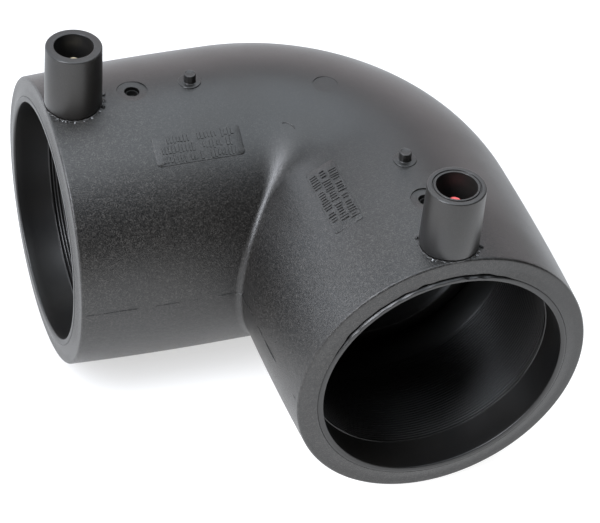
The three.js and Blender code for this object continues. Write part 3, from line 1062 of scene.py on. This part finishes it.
def skirt_mesh(socket):
    angles = angles_round(SKIRT_SIDES)
    seed = 40 + ord(socket.letter)
    width = np.maximum(0.55 + 0.45 * wobble(angles, seed, 30, 4), 0.1) * MM
    thick = np.maximum(0.20 + 0.16 * wobble(angles, seed + 1, 34, 5), 0.05) * MM
    rings = []
    start = SHROUD_FOOT_RADIUS - 0.1 * MM
    room = (TERMINAL_DEPTH - 0.1 * MM) / np.maximum(-np.cos(angles), 0.1)
    for share, lift in ((0, -1.5), (0, 0.6), (0.3, 1.0), (0.8, 0.8), (1.0, 0.2), (1.05, -1.5)):
        across = np.minimum(start + width * share, room - 0.03 * MM * (1 - share))
        height = ground(across, angles) + thick * lift
        rings.append(standing_ring(socket, TERMINAL_DEPTH, across, height, angles))
    return ring_mesh(f"flash_skirt_{socket.letter}", rings, loop_rows=True)


crumb_inputs = [
    ("Ring radius", "Float"), ("Nearest", "Float"), ("Places", "Int"), ("Kept", "Float"),
    ("Lump size", "Float"), ("Seed", "Int"), ("Finish", "Material"),
]
bench, given, crumb_sockets = geometry_tree("crumbs_of_flash", crumb_inputs)
places = bench.node("GeometryNodeMeshCircle", None, {
    "Vertices": given["Places"], "Radius": given["Ring radius"],
})
missing = bench.chance(1 - given["Kept"], given["Seed"])
along = bench.part(bench.node("GeometryNodeInputPosition"), 0)
beyond = bench.node("FunctionNodeCompare", {"operation": "LESS_THAN"}, {0: along, 1: given["Nearest"]})
left_out = bench.node("FunctionNodeBooleanMath", {"operation": "OR"}, {0: missing, 1: beyond})
spots = bench.node("GeometryNodeDeleteGeometry", {"domain": "POINT"}, {
    "Geometry": places, "Selection": left_out,
})
lump = bench.node("GeometryNodeMeshIcoSphere", None, {"Radius": given["Lump size"], "Subdivisions": 2})
shape = bench.random_vector((0.3, 0.2, 0.2), (1.5, 0.9, 0.8), given["Seed"])
turn = bench.random_vector((0.0, 0.0, 0.0), (6.28, 6.28, 6.28), given["Seed"])
lumps = bench.node("GeometryNodeInstanceOnPoints", None, {
    "Points": spots, "Instance": lump, "Scale": shape, "Rotation": turn,
})
crumb_tree = close_tree(bench, lumps, given["Finish"])


def onto_crown(points, socket):
    """Crumbs made round the origin, laid round the terminal on the barrel's surface."""
    depth = TERMINAL_DEPTH + points[:, 0]
    height = crown_height(depth, points[:, 1]) + points[:, 2]
    return socket.place(points[:, 1], height, depth)


kinds = [("crumbs", torn_plastic, 64, 0.28, 0.66 * MM, 3), ("nibs", peg_black, 22, 0.34, 0.95 * MM, 8)]
for socket in SOCKETS:
    finished(f"flash_skirt_{socket.letter}", skirt_mesh(socket), body_black, "body_black", smooth_to=60)
    for kind, finish, count, kept, size, seed in kinds:
        crumbs = mesh_from_tree(f"{kind}_{socket.letter}", crumb_tree, crumb_sockets, {
            "Ring radius": SHROUD_FOOT_RADIUS + 0.75 * MM, "Nearest": 1.7 * MM - TERMINAL_DEPTH,
            "Places": count, "Kept": kept, "Lump size": size,
            "Seed": seed + ord(socket.letter), "Finish": finish,
        })
        move_points(crumbs, onto_crown, socket, weld=1e-8)
        finished(f"{kind}_{socket.letter}", crumbs, finish, "body_black", smooth_to=70)

# %% [markdown]
# The pins are turned rods with a broad collar under the shroud. Only their tops show. Pin A ends in
# a plain round, and pin B is shorter and carries the red cap that marks it.

# %% Pins and the red tip
pin_low, pin_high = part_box("terminal_pin_a")
tip_low, tip_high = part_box("pin_tip_b")
PIN_RADIUS = 2.35 * MM
COLLAR_RADIUS = (pin_high.x - pin_low.x) / 2
tip_foot = tip_low.z - cross.z
tip_top = tip_high.z - cross.z


def pin_outline(top, end_round):
    foot = pin_low.z - cross.z
    collar = foot + 2 * MM
    return rounded([
        (0, foot, 0),
        (PIN_RADIUS, foot, 0.2 * MM),
        (PIN_RADIUS, collar, 0),
        (COLLAR_RADIUS, collar, 0.2 * MM),
        (COLLAR_RADIUS, collar + 2.2 * MM, 0.2 * MM),
        (PIN_RADIUS, collar + 2.2 * MM, 0.1 * MM),
        (PIN_RADIUS, top, end_round),
        (0, top, 0),
    ])


pin_a_outline = pin_outline(pin_high.z - cross.z, 0.8 * MM)
pin_b_outline = pin_outline(tip_foot - 0.1 * MM, 0.2 * MM)
tip_outline = rounded([
    (0, tip_foot, 0),
    (PIN_RADIUS, tip_foot, 0.15 * MM),
    (PIN_RADIUS, tip_top - 0.25 * MM, 0.9 * MM),
    (0, tip_top, 0),
], 6)
for name, socket, outline, finish, slot, node in [
    ("pin_a", socket_a, pin_a_outline, brass, "pin_brass", "terminal_pin_a"),
    ("pin_b", socket_b, pin_b_outline, brass, "pin_brass", "terminal_pin_b"),
    ("red_tip", socket_b, tip_outline, tip_red, "tip_red", "pin_tip_b"),
]:
    turned_piece(name, socket, TERMINAL_DEPTH, outline, finish, slot, replaces=[node])

# %% [markdown]
# The melt indicator is a peg with a flange at its foot and a cup in its top, so it reads as a dark
# hole. It sits low in its well until the melt lifts it.

# %% Melt indicators
PEG_RADIUS = 2.45 * MM
FLANGE_RADIUS = (peg_high.x - peg_low.x) / 2
FLANGE_THICKNESS = 1 * MM
peg_foot = peg_low.z - cross.z
peg_top = peg_high.z - cross.z
peg_outline = rounded([
    (0, peg_foot, 0),
    (FLANGE_RADIUS, peg_foot, 0.15 * MM),
    (FLANGE_RADIUS, peg_foot + FLANGE_THICKNESS, 0.15 * MM),
    (PEG_RADIUS, peg_foot + FLANGE_THICKNESS, 0.1 * MM),
    (PEG_RADIUS, peg_top, 0.2 * MM),
    (PEG_RADIUS - 0.4 * MM, peg_top, 0.1 * MM),
    (PEG_RADIUS - 0.6 * MM, peg_top - 2.2 * MM, 0.5 * MM),
    (0, peg_top - 2.3 * MM, 0),
])
for socket in SOCKETS:
    turned_piece(f"peg_{socket.letter}", socket, PEG_DEPTH, peg_outline, peg_black, "peg_black",
                 body=f"indicator_{socket.letter}", replaces=[f"melt_indicator_{socket.letter}"])

# %% [markdown]
# The buried wires keep their CAD shapes and only get their metal.

# %% Wires
for name in ("link_wire", "lead_wire_a", "lead_wire_b"):
    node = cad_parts[name]
    node.data.materials.clear()
    node.data.materials.append(copper)
print("copper on the buried wires")

# %% [markdown]
# ## Floor and light
# The floor is pale and plain. Its glow is painted light: an emission that stands in for a table
# lit from the front, about twice as strong in front as behind, and that also fills in the elbow's
# shadow on the floor. Black plastic shows what it reflects. The overhead light and the backdrop
# make the grey sheen on top, the left light the sheen on barrel B, and a narrow strip the bright
# line down the crease. The dim room gives the dark band along each barrel.

# %% Floor
GLOW_START = 20 * MM
GLOW_FADE = 160 * MM
FLOOR_HALF = 4.0
floor_material, bench, where = new_finish("pale_floor")
mottle = bench.noise(where, 0.2, detail=3.0)
floor_colour = bench.mix(mottle, (0.36, 0.36, 0.36, 1), (0.40, 0.40, 0.40, 1))
floor_bump = bench.bump(mottle, 0.5 * MM, strength=0.1)
# Painted light: the floor's emission, brighter in front than behind, stands in for the light on the
# table and lightens the shadow under the elbow.
ahead = bench.ramp((GLOW_START - bench.part(where, 1)) * (1 / GLOW_FADE), 0, 1)
painted_floor_light_colour = bench.mix(ahead, (0.6, 0.6, 0.6, 1), (1.25, 1.25, 1.25, 1))
painted_floor_light = {"Emission_Color": painted_floor_light_colour, "Emission_Strength": 0.92}
surface(bench, floor_colour, 0.7 + mottle * 0.1, floor_bump, **painted_floor_light)
floor_corners = np.array([(-1, -1, 0), (1, -1, 0), (1, 1, 0), (-1, 1, 0)]) * FLOOR_HALF
floor_mesh = mesh_of("floor", floor_corners, [(0, 1, 2, 3)])
floor_mesh.materials.append(floor_material)
floor = new_object("floor", floor_mesh)


# %% Lights
def soft_light(name, place, aim, size, radiance, colour):
    """A rectangular light whose face has the given radiance."""
    data = bpy.data.lights.new(name, "AREA")
    data.shape = "RECTANGLE"
    data.size, data.size_y = size
    data.energy = radiance * math.pi * size[0] * size[1]
    data.color = colour
    light = new_object(name, data)
    light.location = place
    light.rotation_mode = "QUATERNION"
    light.rotation_quaternion = (Vector(aim) - Vector(place)).to_track_quat("-Z", "Y")


soft_light("overhead", (0.1, 0.4, 1.7), (0, 0.4, 0), (2.6, 2.0), 3.3, (0.86, 0.93, 1.0))
soft_light("left", (-1.7, 1.5, 0.85), (0, 0, 0.1), (2.2, 1.3), 4.2, (0.86, 0.92, 1.0))
soft_light("backdrop", (0.6, 2.3, 0.8), (0, 0, 0.4), (4.4, 1.6), 1.5, (1.0, 0.94, 0.98))
soft_light("strip", (-1.1, -0.43, 1.1), (0, 0, 0.1), (0.35, 1.2), 29, (0.90, 0.93, 1.0))
world = bpy.data.worlds.new("room")
bpy.context.scene.world = world
world.use_nodes = True
background = world.node_tree.nodes["Background"]
background.inputs["Color"].default_value = (1.0, 0.85, 0.7, 1)
background.inputs["Strength"].default_value = 0.03
print("four soft lights and a dim room")
